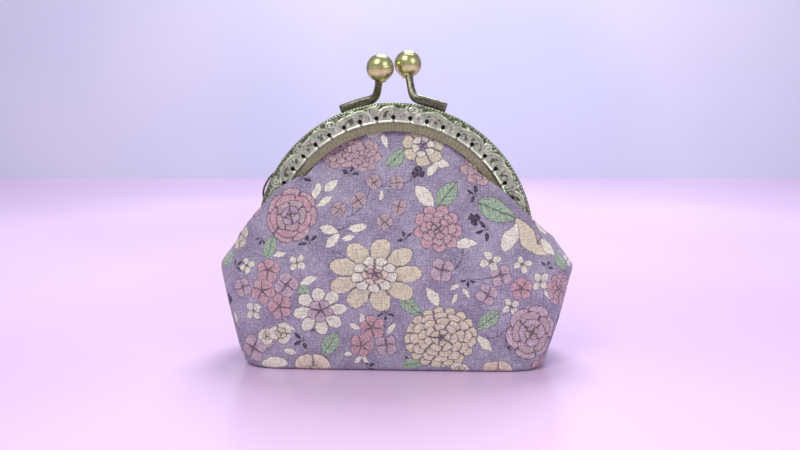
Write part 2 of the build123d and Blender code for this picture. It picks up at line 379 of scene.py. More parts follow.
def cloth_piece(name, layer, back, materials):
    """One layer of the cloth of the front or the back, as a closed thin sheet."""
    rise = 0.0 if back else 1.0
    if layer == "outer":
        grid = fine_cloth(outer_hem_shares, (0, 0, 0), rise)
        plain_end = middle_columns + 4.0
    else:
        grid = fine_cloth(inner_hem_shares, inner_cheek_shift, rise)
        plain_end = middle_columns + 2.0
    along, up = flat_coordinates(grid)
    normal = held_normals(grid, plain_end)
    grid = grid + normal * softness(grid, along, up)[:, :, None]
    near, far = layer_offsets[layer]
    tuck = np.zeros(grid.shape[:2]) if layer == "outer" else seam_tuck(grid, along)
    sides = [grid - normal * (offset + tuck)[:, :, None] for offset in (near, far)]
    for points in sides:
        points[:, :, 1] = np.minimum(points[:, :, 1], -0.02)
    rows, cols = grid.shape[:2]
    count = rows * cols
    index = np.arange(count).reshape(rows, cols)
    border = np.concatenate([index[0, :-1], index[:-1, -1], index[-1, :0:-1], index[:0:-1, 0]])
    following = np.roll(border, -1)
    faces = np.concatenate([grid_faces(rows, cols), grid_faces(rows, cols, count)[:, ::-1],
                            np.stack([following, border, border + count, following + count], -1)])
    points = np.concatenate([side.reshape(-1, 3) for side in sides])
    uv = np.stack([along, up], -1).reshape(-1, 2)
    if back:
        uv = uv + (repeat_along / 2, repeat_up / 2)
    return new_piece(name, points, faces, materials, back, uv=np.concatenate([uv, uv]))


# ---- frame halves ----
def frame_section():
    """Outside of a frame half in section, as (radius, y) points from its face's inner edge."""
    corner = 0.6
    face = [(r, -half_depth) for r in np.arange(channel_mouth, rim_radius - corner, 0.19)]
    turn = np.radians(np.linspace(0, 90, 5))
    centre_r = rim_radius - corner
    front_corner = [(centre_r + corner * math.sin(a), -half_depth + corner * (1 - math.cos(a)))
                    for a in turn]
    rim = [(rim_radius, y) for y in np.linspace(-half_depth + corner, -half_gap - corner, 12)[1:-1]]
    inner_corner = [(centre_r + corner * math.cos(a), -half_gap - corner * (1 - math.sin(a))) for a in turn]
    inner_end = rim_radius - inner_face_width
    inner = [(r, -half_gap) for r in np.linspace(centre_r, inner_end, 32)[1:]]
    return np.array(face + front_corner + rim + inner_corner + inner)


def along_circle(angle):
    """How far along the hole circle an angle lies, from the top and from the nearest hole."""
    place = np.radians(angle) * hole_circle
    return place, place - np.round(place / hole_pitch) * hole_pitch


def embossing(radius, angle):
    """Height of the face's pattern, 0 to 1: uneven arches, scrolls, rosettes and fine curls."""
    arch_radius = 2.75
    inner_arch_radius = 2.1
    rosette_up = 1.8
    scroll_up = 2.2
    scroll_pitch = 0.85
    leaf_gap = 1.5
    bead_circle = 42.1
    bead_pitch = 0.9
    place, along = along_circle(angle)
    span = 2.36 * hole_pitch
    swayed = place + 0.8 * np.sin(place / 4.3 + 1) + 0.45 * np.sin(place / 1.7)
    pair = swayed - np.round(swayed / span) * span
    up = radius - hole_circle + 0.2 * np.sin(place * 0.9)
    beyond = np.abs(pair) - span / 2
    hand = np.sign(pair)

    arch_d = np.hypot(pair / 1.95, up - 0.2)
    arch = hill(arch_d - arch_radius, 0.24) + 0.75 * hill(arch_d - inner_arch_radius, 0.2)
    rosette_d = np.hypot(pair, up - rosette_up)
    rosette_a = np.arctan2(up - rosette_up, pair)
    rosette = (0.3 + 0.7 * np.cos(rosette_a * 2.5) ** 2) * (1 - smoothstep(rosette_d, 0.8, 1.25))
    rosette = rosette * (1 - 0.7 * hill(rosette_d, 0.35))
    scroll_d = np.hypot(beyond, up - scroll_up)
    scroll_a = np.arctan2(up - scroll_up, beyond * hand)
    scroll = 0.5 + 0.5 * np.cos(scroll_a * hand + 2 * math.pi * scroll_d / scroll_pitch)
    scroll = scroll * (1 - smoothstep(scroll_d, 1.3, 1.8))
    curl_line = (np.sin(1.7 * place + 2.0 * np.sin(1.6 * up + 0.31 * place))
                 + np.sin(2.5 * up - 1.2 * place + 1.5 * np.sin(0.9 * place)))
    curls = 0.85 * hill(curl_line, 0.4) * smoothstep(up, 0.5, 1.1)
    leaf_lean = np.abs(np.abs(along) - leaf_gap) + 0.4 * np.abs(up - 0.2)
    leaf_shape = 0.95 * hill(leaf_lean, 0.55) * (1 - smoothstep(np.abs(up - 0.2), 0.7, 1.2))
    beads = (0.5 + 0.5 * np.cos(2 * math.pi * place / bead_pitch)) * hill(radius - bead_circle, 0.3)
    patterned = 1 - smoothstep(radius, 41.5, 41.9)
    pattern = np.maximum.reduce([arch, rosette, scroll, curls, leaf_shape]) * patterned + 0.5 * beads
    wear = 0.8 + 0.2 * np.sin(place * 0.46 + 1.1) * np.sin(place * 1.24 + radius)
    return np.clip(pattern * wear, 0, 1)


def face_height(radius, angle):
    """How far the face stands out of its flat plate, and how raised it looks, from 0 to 1."""
    dome_circle = 40.3
    ridge_circle = 36.95
    band_edge = 36.1
    ribs_per_hole = 4
    place, along = along_circle(angle)
    from_hole = np.hypot(along, radius - hole_circle)
    pattern = embossing(radius, angle) * smoothstep(radius, 37.3, 37.9)
    dome = 0.22 * hill(radius - dome_circle, 2.1)
    ridge = hill(radius - ridge_circle, 0.3)
    tail = hill(along - 0.12, 0.36) * smoothstep(radius, band_edge, 36.5)
    tail = tail * (1 - smoothstep(radius, 37.9, 38.3))
    band = 1 - smoothstep(radius, band_edge, 36.6)
    ribs = 0.5 + 0.5 * np.cos(2 * math.pi * place / hole_pitch * ribs_per_hole)
    lip = hill(from_hole - hole_radius - 0.18, 0.2)
    height = dome + 0.3 * pattern + 0.3 * ridge + band * (0.06 * ribs - 0.3) + 0.06 * lip - 0.22 * tail
    flat_part = 0.5 * (hill(from_hole, 1.3) + hill(radius - 37.6, 0.5))
    raised = np.maximum(pattern, flat_part) + 0.72 * ridge + band * (0.46 + 0.08 * ribs)
    return height, np.clip(raised * (1 - 0.95 * tail), 0, 1)


def frame_grid():
    """Points of a frame half, how raised each one looks, and how far it takes the brown colour: fully on
    the ribbed band below the holes, where the brown is painted shade and reflected cloth colour, and mostly
    on the rim and the inner plate, where it is their duller tone.
    """
    rim_brown = 0.85
    section = frame_section()
    tangent = np.gradient(section, axis=0)
    normal = np.stack([tangent[:, 1], -tangent[:, 0]], -1)
    normal /= np.linalg.norm(normal, axis=1)[:, None]
    share = np.linspace(-1, 1, 521)
    radius = np.broadcast_to(section[:, :1], (len(section), len(share)))
    y = np.broadcast_to(section[:, 1:], radius.shape)
    angle = share[None, :] * np.degrees(np.arccos(leg_end / radius))
    on_face = 1 - smoothstep(y, -half_depth + 0.1, -half_depth + 0.9)
    height, raised = face_height(radius, angle)
    radius = radius + normal[:, :1] * height * on_face
    y = y + normal[:, 1:] * height * on_face
    turn = np.radians(angle)
    points = np.stack([radius * np.sin(turn), y, hinge_z + radius * np.cos(turn)], -1)
    # the ribbed band's brown is painted shade and reflected cloth colour; the rim's and the inner plate's
    # is their duller tone
    dull_tone_and_band_shade = on_face * (1 - smoothstep(radius, 36.2, 36.6)) + rim_brown * (1 - on_face)
    return points, raised * on_face + 0.5 * (1 - on_face), dull_tone_and_band_shade


def hole_centres():
    """Middles of the sewing holes, as (x, z) points."""
    angle = np.radians(np.arange(-holes_each_side, holes_each_side + 1) * hole_step)
    return np.stack([hole_circle * np.sin(angle), hinge_z + hole_circle * np.cos(angle)], -1)


def with_holes(points, faces):
    """Opens the sewing holes: drops the faces in them and moves their edges onto circles."""
    flat = points[:, [0, 2]]
    gaps = np.linalg.norm(flat[:, None] - hole_centres()[None], axis=2)
    nearest = gaps.argmin(axis=1)
    gap = gaps.min(axis=1)
    inside = gap < hole_radius * 0.9
    opened = inside[faces].any(axis=1)
    edge = np.zeros(len(points), bool)
    edge[faces[opened].ravel()] = True
    edge &= ~inside
    centre = hole_centres()[nearest]
    away = (flat - centre) / np.maximum(gap, 1e-6)[:, None]
    flat = np.where(edge[:, None], centre + away * hole_radius, flat)
    points = np.stack([flat[:, 0], points[:, 1], flat[:, 1]], -1)
    return points, faces[~opened]


def ear_points(inner_x, thickness):
    """Points and faces of the hinge ear on the right: a rounded plate below the leg."""
    disc_radius = 2.6
    neck_top = 6.9
    bevel = 0.12
    neck = [(-half_depth + 0.25, neck_top), (-half_gap - 0.1, neck_top)]
    turn = np.radians(np.linspace(20, -200, 25))
    disc = [(disc_radius * math.cos(a), disc_radius * math.sin(a)) for a in turn]
    outline_yz = np.array(neck + disc)
    rings = []
    centre = outline_yz.mean(axis=0)
    for x, inset in ((0.0, bevel), (bevel, 0.0), (thickness - bevel, 0.0), (thickness, bevel)):
        y, up = (centre + (outline_yz - centre) * (1 - inset / disc_radius)).T
        rings.append(np.column_stack([np.full(len(y), inner_x + x), y, hinge_z + up]))
    return np.concatenate(rings), closed_rings(len(rings), len(outline_yz))


def joined(parts):
    """One list of points and faces from several."""
    points, faces, start = [], [], 0
    for part_points, part_faces in parts:
        points.append(np.asarray(part_points))
        faces += [[int(i) + start for i in face] for face in part_faces]
        start += len(part_points)
    return np.concatenate(points), faces


def frame_piece(name, back, materials):
    """A frame half's channel: the embossed plate with open holes, the rim and the inner plate."""
    grid, raised, dull_tone_and_band_shade = frame_grid()
    rows, cols = grid.shape[:2]
    points, faces = with_holes(grid.reshape(-1, 3), grid_faces(rows, cols))
    values = {"raised": raised, "dull_tone_and_band_shade": dull_tone_and_band_shade}
    piece = new_piece(name, points, faces, materials, back, point_values=values)
    loose = bmesh.new()
    loose.from_mesh(piece.data)
    bmesh.ops.delete(loose, geom=[v for v in loose.verts if not v.link_faces], context="VERTS")
    loose.to_mesh(piece.data)
    loose.free()
    thickness = piece.modifiers.new("sheet", "SOLIDIFY")
    thickness.thickness = plate_thickness * MM
    thickness.offset = -1
    apply_modifiers(piece)
    return piece


def ears_piece(name, back, materials):
    """The two hinge ears of a frame half."""
    right_points, right_faces = ear_points(ear_starts[back], ear_thickness)
    left_points = right_points * (-1, 1, 1)
    left_faces = [list(face)[::-1] for face in right_faces]
    points, faces = joined([(right_points, right_faces), (left_points, left_faces)])
    return new_piece(name, points, faces, materials, back)


# ---- clasp ----
def arm_path(ball_z, foot_end):
    """Centre line of the front half's arm: a foot along the rim, a bend and a stem to the ball."""
    tip = (foot_end, -2.8, 82.5 - 0.352 * foot_end)
    foot = [tip, (12.2, -2.8, 78.2), (8.9, -2.8, 79.1), (6.9, -2.7, 79.6), (5.8, -2.1, 80.5)]
    lift = ball_z - 89.7
    stem = [(5.2, -1.0, 82.4 + lift / 3), (4.7, 0.6, 84.8 + lift * 2 / 3), (4.3, 2.2, 87.3 + lift)]
    return refined(foot + stem, 3)


def arm_piece(name, back, materials):
    """The arm that is brazed to the rim and carries the ball, thicker at its foot."""
    path = arm_path(ball_heights[back], foot_ends[back])
    share = np.linspace(0, 1, len(path))
    ends = 1 - 0.12 * hill(share, 0.008)
    waist = 1 + 0.12 * (1 - smoothstep(share, 0.3, 0.6)) - 0.1 * hill(share - 0.8, 0.15)
    half_width = arm_half_width * ends * waist
    half_depth_y = arm_half_depth * ends * waist
    points, faces = tube(path, half_width, half_depth_y, power=2.8)
    return new_piece(name, points, faces, materials, back)


def ball_piece(name, back, materials):
    """A hollow-spun ball: two cups that meet in a fine seam, and a small neck under it."""
    centre = np.array([ball_offset, ball_lean, ball_heights[back]])
    axis = np.array([0.12, 0.45, 1.0])
    axis /= np.linalg.norm(axis)
    side = np.cross(axis, (1.0, 0.0, 0.0))
    side /= np.linalg.norm(side)
    other = np.cross(axis, side)
    polar = np.radians(np.linspace(0.5, 170, 96))
    seam = 0.08 * hill(np.degrees(polar) - 68, 2.0)
    profile_r = (ball_radius - seam) * np.sin(polar)
    profile_h = (ball_radius - seam) * np.cos(polar)
    neck_r = [1.35, 1.4, 1.3]
    neck_h = [-4.0, -4.2, -4.35]
    keep = profile_h > -3.9
    profile_r = np.concatenate([profile_r[keep], neck_r])[::-1]
    profile_h = np.concatenate([profile_h[keep], neck_h])[::-1]
    turn = np.linspace(0, 2 * math.pi, 96, endpoint=False)
    around = side[None] * np.cos(turn)[:, None] + other[None] * np.sin(turn)[:, None]
    points = centre + profile_h[:, None, None] * axis + profile_r[:, None, None] * around[None]
    faces = closed_rings(len(profile_r), len(turn))
    return new_piece(name, points.reshape(-1, 3), faces, materials, back)


def loop_piece(name, materials):
    """The bent wire on the left end of the back half, which a wrist strap clips to."""
    route = [(-34.6, 2.8, 56.2), (-36.4, 2.8, 57.4), (-38.6, 2.8, 56.8), (-40.3, 2.8, 54.8),
             (-41.9, 2.8, 52.0), (-42.1, 2.8, 49.4), (-41.0, 2.8, 47.6), (-38.4, 2.8, 47.2)]
    path = refined(route, 3)
    wire_radius = np.full(len(path), 0.32)
    points, faces = tube(path, wire_radius, wire_radius, sides=16)
    return new_piece(name, points, faces, materials)


def stitch_piece(name, back, materials):
    """Sewing thread in each hole: a knot of two crossed strands below the plate's face."""
    parts = []
    for x, z in hole_centres():
        outward = np.array([x, 0, z - hinge_z]) / hole_circle
        for lean in (-0.16, 0.16):
            path = [np.array([x, y, z]) + outward * (lean * swing) + np.array([0.1 * swing, 0, 0])
                    for y, swing in ((-4.9, 1.5), (-5.0, 0.6), (-4.4, -0.4), (-2.4, -1.0), (-0.5, 0.8))]
            parts.append(thread(refined(path, 2), radius=0.26))
    points, faces = joined(parts)
    return new_piece(name, points, faces, materials, back)


def thread(path, radius, sides=8):
    """Points and faces of a thin round thread, whose path runs mostly along Y."""
    turn = np.linspace(0, 2 * math.pi, sides, endpoint=False)
    ring = np.stack([np.cos(turn), 0 * turn, np.sin(turn)], -1)
    rings = path[:, None] + ring[None] * radius
    return rings.reshape(-1, 3), closed_rings(len(path), sides)


# ---- materials ----
def srgb(red, green, blue):
    """A colour from its 0-255 screen values, as the linear numbers that a shader takes."""
    linear = []
    for value in (red, green, blue):
        value = value / 255
        linear.append(value / 12.92 if value <= 0.04045 else ((value + 0.055) / 1.055) ** 2.4)
    return (*linear, 1.0)


class Nodes:
    """A material and short calls that add its nodes. A value is a number, a tuple or an output."""

    def __init__(self, name):
        self.material = bpy.data.materials.new(name)
        self.material.use_nodes = True
        self.tree = self.material.node_tree
        self.tree.nodes.clear()
        self.shader = self.tree.nodes.new("ShaderNodeBsdfPrincipled")
        output = self.tree.nodes.new("ShaderNodeOutputMaterial")
        self.tree.links.new(self.shader.outputs[0], output.inputs["Surface"])

    def put(self, socket, value):
        if isinstance(value, bpy.types.NodeSocket):
            self.tree.links.new(value, socket)
        else:
            socket.default_value = value

    def add(self, kind, inputs=(), **settings):
        node = self.tree.nodes.new("ShaderNode" + kind)
        for key, value in settings.items():
            setattr(node, key, value)
        for key, value in dict(inputs).items():
            self.put(node.inputs[key], value)
        return node

    def math(self, operation, *values):
        return self.add("Math", enumerate(values), operation=operation).outputs[0]

    def vector(self, operation, *values):
        node = self.add("VectorMath", enumerate(values), operation=operation)
        return node.outputs["Value" if operation in ("LENGTH", "DOT_PRODUCT") else "Vector"]

    def mix(self, share, first, second, blend="MIX"):
        node = self.add("Mix", {0: share, 6: first, 7: second}, data_type="RGBA", blend_type=blend)
        return node.outputs[2]

    def pick(self, share, first, second):
        """A vector that is the first where share is 0 and the second where it is 1."""
        return self.add("Mix", {0: share, 4: first, 5: second}, data_type="VECTOR").outputs[1]

    def step(self, value, low, high, first=0.0, last=1.0):
        """Goes smoothly from first, where value is low, to last, where it is high."""
        inputs = {0: value, 1: low, 2: high, 3: first, 4: last}
        return self.add("MapRange", inputs, interpolation_type="SMOOTHSTEP").outputs[0]

    def noise(self, where, scale, detail=3.0, roughness=0.55):
        inputs = {"Vector": where, "Scale": scale, "Detail": detail, "Roughness": roughness}
        return self.add("TexNoise", inputs).outputs["Fac"]

    def bump(self, height, strength, distance):
        inputs = {"Height": height, "Strength": strength, "Distance": distance}
        self.put(self.shader.inputs["Normal"], self.add("Bump", inputs).outputs["Normal"])

    def shade(self, **inputs):
        for key, value in inputs.items():
            self.put(self.shader.inputs[key.replace("_", " ")], value)


class Group(Nodes):
    """A node group, with a vector going in and a colour and a number coming out."""

    def __init__(self, name):
        self.tree = bpy.data.node_groups.new(name, "ShaderNodeTree")
        self.tree.interface.new_socket("Place", in_out="INPUT", socket_type="NodeSocketVector")
        self.tree.interface.new_socket("Colour", in_out="OUTPUT", socket_type="NodeSocketColor")
        self.tree.interface.new_socket("Cover", in_out="OUTPUT", socket_type="NodeSocketFloat")
        self.place = self.tree.nodes.new("NodeGroupInput").outputs["Place"]
        self.output = self.tree.nodes.new("NodeGroupOutput")

    def finish(self, colour, cover):
        self.put(self.output.inputs["Colour"], colour)
        self.put(self.output.inputs["Cover"], cover)
        return self.tree


def object_place(nodes):
    """The piece's own coordinates, in millimetres."""
    place = nodes.add("TexCoord").outputs["Object"]
    return nodes.vector("MULTIPLY", place, (1 / MM,) * 3)


def brass_material(name, dark, plain, bright, uses_relief):
    """Antique brass: dark in its hollows, rubbed bright where it stands out; on the embossed face the
    brightest, near-white spots are painted glints.
    """
    nodes = Nodes(name)
    place = object_place(nodes)
    patina = nodes.noise(place, 0.35, detail=5.0)
    grain = nodes.noise(place, 1.5, detail=5.0)
    if uses_relief:
        raised = nodes.add("Attribute", attribute_name="raised").outputs["Fac"]
        dull_tone_and_band_shade = nodes.add("Attribute", attribute_name="dull_tone_and_band_shade").outputs["Fac"]
        # the raised parts are rubbed bright, and the grain adds painted glints of the near-white colour on
        # them
        rubbed_and_glints = nodes.math("MULTIPLY_ADD", grain, 0.7, nodes.math("SUBTRACT", raised, 0.34))
        colour = nodes.mix(nodes.step(rubbed_and_glints, 0.05, 0.42), dark, plain)
        colour = nodes.mix(nodes.step(rubbed_and_glints, 0.55, 0.98), colour, bright)
        # the brown is painted shade and reflected cloth colour on the ribbed band, and the duller tone of
        # the rim and the inner plate
        brown = nodes.mix(nodes.step(grain, 0.35, 0.7), srgb(160, 158, 124), srgb(198, 196, 160))
        brown = nodes.mix(nodes.step(raised, 0.42, 0.62), nodes.mix(0.45, brown, dark), brown)
        colour = nodes.mix(dull_tone_and_band_shade, colour, brown)
    else:
        colour = nodes.mix(nodes.step(grain, 0.38, 0.66), plain, nodes.mix(0.5, plain, bright))
    colour = nodes.mix(nodes.step(patina, 0.45, 0.75, 0.0, 0.3), colour, nodes.mix(0.5, dark, plain))
    tarnish = nodes.math("ADD", patina, nodes.math("MULTIPLY", grain, 0.4))
    roughness = nodes.step(tarnish, 0.45, 0.95, 0.26, 0.5)
    if uses_relief:
        roughness = nodes.math("MULTIPLY_ADD", dull_tone_and_band_shade, 0.18, roughness)
    nodes.shade(Base_Color=colour, Roughness=roughness, Metallic=1.0)
    nodes.bump(nodes.noise(place, 6.0, detail=4.0), 0.25, 0.03 * MM)
    return nodes.material


def polished_material(name):
    """The balls: yellower brass, brushed round and a little tarnished, with painted shade that darkens them
    towards their outline.
    """
    nodes = Nodes(name)
    place = object_place(nodes)
    patina = nodes.noise(place, 0.45, detail=4.0)
    fine = nodes.noise(nodes.vector("MULTIPLY", place, (0.6, 0.6, 9.0)), 1.2, detail=3.0)
    colour = nodes.mix(nodes.step(patina, 0.35, 0.7), srgb(216, 217, 152), srgb(188, 185, 132))
    colour = nodes.mix(nodes.step(fine, 0.5, 0.75, 0.0, 0.35), colour, srgb(150, 132, 98))
    # painted shade: darker towards the ball's outline as seen, where its surface turns away from the view
    rim = nodes.add("LayerWeight", {"Blend": 0.5}).outputs["Facing"]
    colour = nodes.mix(nodes.step(rim, 0.3, 0.95, 0.0, 0.8), colour, srgb(104, 90, 62))
    nodes.shade(Base_Color=colour, Roughness=nodes.step(fine, 0.3, 0.8, 0.2, 0.36), Metallic=1.0)
    nodes.bump(fine, 0.12, 0.02 * MM)
    return nodes.material


def cloth_place(nodes):
    """Where a point lay on the flat cloth, in millimetres."""
    return nodes.add("UVMap", uv_map="cloth").outputs["UV"]


def weave(nodes, cloth, pitch):
    """Thread colour from 0 to 1, uneven along the threads, and the weave's height."""
    warp = nodes.noise(nodes.vector("MULTIPLY", cloth, (1.0, 0.22, 1.0)), 1.9, detail=2.5)
    weft = nodes.noise(nodes.vector("MULTIPLY", cloth, (0.22, 1.0, 1.0)), 1.9, detail=2.5)
    threads = nodes.math("MULTIPLY", nodes.math("ADD", warp, weft), 0.5)
    phase = nodes.vector("SCALE", cloth)
    nodes.put(phase.node.inputs["Scale"], math.pi / pitch)
    waves = nodes.vector("SINE", phase)
    parts = nodes.add("SeparateXYZ", {0: waves}).outputs
    over = nodes.math("ABSOLUTE", nodes.math("MULTIPLY", parts[0], parts[1]))
    height = nodes.math("ADD", nodes.math("MULTIPLY", over, 0.6), threads)
    return threads, over, height


def plain_cloth_material(name, dark, light, pitch, roughness, fuzz):
    """Cloth of one colour that shows its threads, with painted highlights on the weave's raised crossings.
    """
    nodes = Nodes(name)
    cloth = cloth_place(nodes)
    threads, over, height = weave(nodes, cloth, pitch)
    # the threads' tone is the cloth's own; the lift on the weave's raised crossings is painted highlight
    share = nodes.math("ADD", nodes.step(threads, 0.35, 0.65), nodes.math("MULTIPLY", over, 0.2))
    clouds = nodes.noise(cloth, 0.12, detail=2.0)
    colour = nodes.mix(share, dark, light)
    colour = nodes.mix(nodes.step(clouds, 0.4, 0.7, 0.0, 0.25), colour, dark)
    nodes.shade(Base_Color=colour, Roughness=roughness, Sheen_Weight=fuzz)
    nodes.bump(height, 0.5, 0.12 * MM)
    return nodes.material


def thread_material():
    nodes = Nodes("thread")
    place = object_place(nodes)
    inputs = {"Vector": place, "Scale": 1.4, "Distortion": 1.5}
    ply = nodes.add("TexWave", inputs, bands_direction="DIAGONAL")
    colour = nodes.mix(ply.outputs["Fac"], srgb(34, 28, 34), srgb(66, 55, 62))
    nodes.shade(Base_Color=colour, Roughness=0.8, Sheen_Weight=0.2)
    nodes.bump(ply.outputs["Fac"], 0.5, 0.05 * MM)
    return nodes.material


# ---- the print: generic garden flowers drawn on the flat cloth ----
# Each place is (along, up, size, turn): millimetres from the middle and the base's edge of the
# front, the motif's radius or half length, and degrees. The print repeats over the bolt of cloth.
# A motif's turn travels in the Z of its place, so small that it doesn't count in the distance.
tiny_turn = 0.001
canvas_pitch = 0.42

violet = srgb(180, 171, 195)
violet_dark = srgb(155, 143, 171)
plum = srgb(62, 44, 78)
outline_colour = srgb(80, 62, 86)
cream = srgb(236, 226, 196)
white = srgb(250, 246, 226)
peach = srgb(244, 226, 206)
rose_pink = srgb(211, 177, 182)
rose_red = srgb(218, 173, 182)
dusty_pink = srgb(206, 180, 184)
mauve = srgb(212, 186, 200)
lilac = srgb(176, 152, 178)
leaf_green = srgb(172, 200, 168)
leaf_dark = srgb(86, 108, 94)
speck_shade = srgb(208, 204, 210)
thread_shade = srgb(222, 217, 228)

daisy_places = ((-4.9, 28.6, 11, 4), (-57, 62, 10, 40), (42, -14, 9, 20))
peony_places = ((14.5, 10.3, 9.2, 10), (52, 64, 10, 60), (-30, -13, 9, 0))
rose_places = ((-30.5, 47.5, 8.4, 0), (46, 52, 6.5, 50), (8, -10, 7, 120), (-56, 10, 6, 80))
mauve_rose_places = ((41.5, 11.5, 8.2, 30), (-47, 52, 6.5, 110), (57, 21, 6, 200))
cream_top_places = ((9, 68, 6.6, 20), (62, 43, 6, 90), (-51, 42, 5.5, 15))
white_star_places = ((-21, 17.8, 7.2, 10), (-38, 74, 7, 0), (62, 0, 6.5, 45), (24, -12, 6, 0))
cluster_places = ((13.5, 42.7, 7.4, 0), (38, 73, 6.5, 30), (-60, -8, 6.5, 0), (51, 24, 5.0, 10))
pale_cluster_places = (
    (-15.5, 67.2, 6.2, 20), (-8.4, 65, 4.9, 80), (27, 62.5, 6.4, 10), (-62, 29, 5.5, 50),
    (28, 78, 5, 0),
)
white_four_places = (
    (-44.5, 31, 2.9, 20), (-28, 32.5, 3.2, 50), (-41.5, 17, 3.1, 45), (29, 33.5, 3.5, 25),
    (38.5, 32.4, 3.1, 10), (44, 26.7, 3.2, 40), (35, 19.4, 2.9, 30), (-14, 78, 3.2, 10),
    (58, 33, 3, 60), (-58, 46, 3, 20), (-50, -8, 3, 0), (2, -18, 3.2, 45),
)
red_four_places = (
    (-37, 30, 4.1, 15), (-38.5, 23.6, 4.2, 60), (-33, 19, 3.9, 35), (38, 24.8, 3.6, 20),
    (-5.6, 13.2, 3.9, 30), (-8.7, 7.6, 3.8, 70), (45, 0, 4, 0), (56, 54, 3.8, 0), (-44, 66, 4, 25),
    (-10, -16, 4, 15),
)
lilac_four_places = (
    (-31, 25.5, 4.0, 10), (14.8, 30.2, 3.9, 30), (32, 29, 3.6, 60), (28, 23.2, 3.5, 15),
    (-1.5, 7.9, 3.6, 50), (-41.5, 6, 4.4, 20), (-45.5, 24, 3.3, 70), (-37, 9.5, 3.4, 5), (60, 12, 4, 0),
    (36, 60, 3.5, 0), (56, -12, 4, 40),
)
peach_half_places = ((-23.5, -1.5, 6.8, 0), (31, -1.5, 5.4, 0), (-52, 78, 5, 0))
bud_places = (
    (-5.5, 56.4, 2.4, 0), (1.3, 56, 2.3, 60), (-16, 48.4, 2.5, 20), (-10, 51, 2.6, 90),
    (2, 48.7, 2.3, 40), (-2, 44.2, 2.4, 10), (44, 40, 2.2, 0), (-36, 60, 2.3, 0), (51, 5, 2.3, 0),
)
stem_places = (
    (-9, 49, 9, 52), (-15.5, 42, 7, 15), (20.5, 34, 7, 75), (0, 55, 7, 5), (-27, 55, 5, 60),
    (-13, 33, 6, 130), (28, 28, 6, 20), (-38, 27, 7, 80), (-2, 12, 7, 70), (33, 12, 6, 40),
    (58, 50, 10, 100), (-52, 60, 9, 10), (44, 68, 8, 200), (50, 10, 8, 60),
)
green_leaf_places = (
    (0.9, 64, 4.3, 50), (16.3, 53.4, 5.2, 55), (31, 49.2, 6.6, -20), (28.5, 15.6, 4.5, 35),
    (5.6, 19.6, 4.0, -35), (-18, 8.2, 4.4, 60), (-37, 38.2, 4.2, 75), (-25.8, 23.7, 2.7, -50),
    (52.5, 32.5, 3.6, -70), (6, 2.2, 3.2, 10), (-54, 33, 4, 45), (48, 74, 4.5, 0), (-20, -8, 4, 20),
    (60, 70, 4, 90), (37, -6, 4, 130),
)
white_leaf_places = (
    (9.6, 52, 4.8, -55), (35, 41.3, 5.2, 62), (27.2, 8.6, 3.3, -45), (21.8, 38.6, 3.4, 8),
    (-23, 55, 3.0, 72), (-18.7, 56.2, 3.2, 38), (-20.2, 51.3, 2.7, 28), (-6, 72.2, 3.2, 5),
    (-2.6, 69.6, 2.4, -70), (-18.5, 42, 3.2, -20), (-10, 42.5, 2.8, 5), (-17.3, 38.8, 3.0, 42),
    (-12.7, 39.6, 2.0, 10), (-24.2, 26.8, 2.9, 22), (12.2, 22.2, 3.5, -60), (-33.6, 35.6, 2.2, 15),
    (-27.7, 65, 3.2, 35), (14.3, 62.7, 2.9, -10), (11.8, 60.8, 2.6, 55), (46, 45, 4.2, -50),
    (-34.8, 1.8, 4.6, 3), (48, 38, 4, -45), (-46, 74, 3, 30), (58, 60, 3, 10),
)
cream_leaf_places = ((40.3, 41.5, 6.8, -58), (44, 37.5, 4.2, -30), (-60, 20, 4, 60), (50, -5, 4, 10))
tiny_leaf_places = (
    (18.6, 25.3, 1.8, 25), (21.8, 23.4, 1.8, -55), (18.6, 21.8, 1.9, 60), (-10.7, 13.2, 2.3, -25),
    (-8.6, 15.3, 2.2, 88), (0.2, 13, 2.2, 55), (-12.9, 4.9, 1.6, 8), (-9.8, 3.4, 1.5, 40),
    (-7.8, 3.1, 1.5, -35), (46.3, 22.2, 2.0, -50), (-30, 5.4, 2.2, -12), (-48.5, 14.5, 2.3, -70),
    (-3.3, 52.5, 1.8, 85), (-29.5, 12.5, 1.6, -30), (15.5, 2.4, 2.4, 20), (-47, 2.5, 1.9, 70),
)
white_bud_places = ((-32.6, 11, 3.5, 80), (-37.4, 9.8, 2.6, 60), (20, 0.5, 2.8, 30), (55, 45, 3, 0))
sprig_places = (
    (-12.9, 59.3, 3.0, 75), (-28.5, 59, 3.4, 60), (-24.6, 38.7, 3.4, 110), (-1.6, 17.4, 2.8, 270),
    (25, 53.6, 3.2, 160), (27.8, 43, 3.4, 200), (4.2, 39.2, 2.8, 120), (-26.2, 9.2, 3.2, 215),
    (46.5, 31, 2.6, 60), (-48.8, 30.5, 2.8, 45), (-40.3, 40.5, 2.3, 250), (5.5, 2.6, 2.6, 130),
    (33.6, 8, 2.3, 20), (22.4, 27.4, 2.4, 270), (-24.5, 12.3, 2.2, 60), (-7, 1, 2.6, 30), (56, 8, 3, 0),
    (-60, 38, 3, 90), (40, 66, 3, 45), (-25, 71, 3, 0), (18, -3, 3, 80),
)
clover_places = (
    (7.5, 59.6, 2.1, 90), (24.2, 46, 2.0, 30), (-52, 20, 2, 0), (53, 14, 2, 0), (-3, -6, 2, 45),
)


